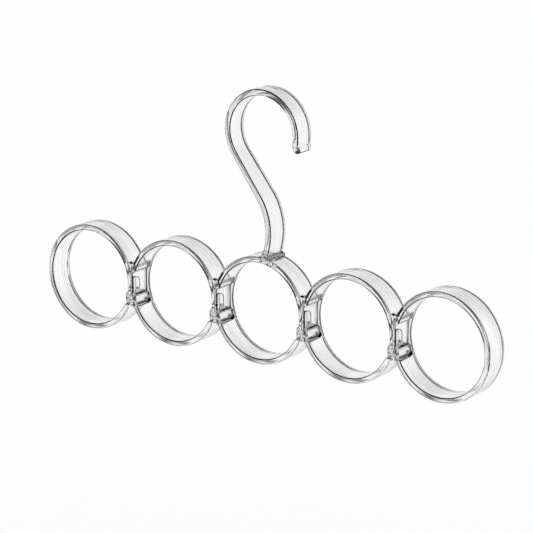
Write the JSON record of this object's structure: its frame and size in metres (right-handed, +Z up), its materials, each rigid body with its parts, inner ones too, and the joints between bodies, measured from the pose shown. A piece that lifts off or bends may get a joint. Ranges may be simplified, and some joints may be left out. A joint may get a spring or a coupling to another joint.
{
  "type": "scarf hanger",
  "caption": "Row of clear plastic rings joined edge to edge by slide-in link clips, hung from a closet rod by a flat-band S hook on the middle ring.",
  "frame": {"origin": "centre of the hook's bend, on the axis of the closet rod, midway through the hook's depth", "axes": "+X along the row of rings towards the hook's open side, +Y along the rings' axes towards the closed backs of the clip slots, +Z up"},
  "size_m": [0.418, 0.0236, 0.2176],
  "materials": {
    "clear_ring": "clear, glossy",
    "clear_clip": "clear, glossy",
    "clear_hook": "clear, glossy"
  },
  "bodies": {
    "root": {"ring_left_end": "clear_ring", "ring_left_inner": "clear_ring", "ring_middle": "clear_ring", "ring_right_inner": "clear_ring", "ring_right_end": "clear_ring", "link_clip_1": "clear_clip", "link_clip_2": "clear_clip", "link_clip_3": "clear_clip", "link_clip_4": "clear_clip", "hook": "clear_hook"}
  },
  "joints": []
}
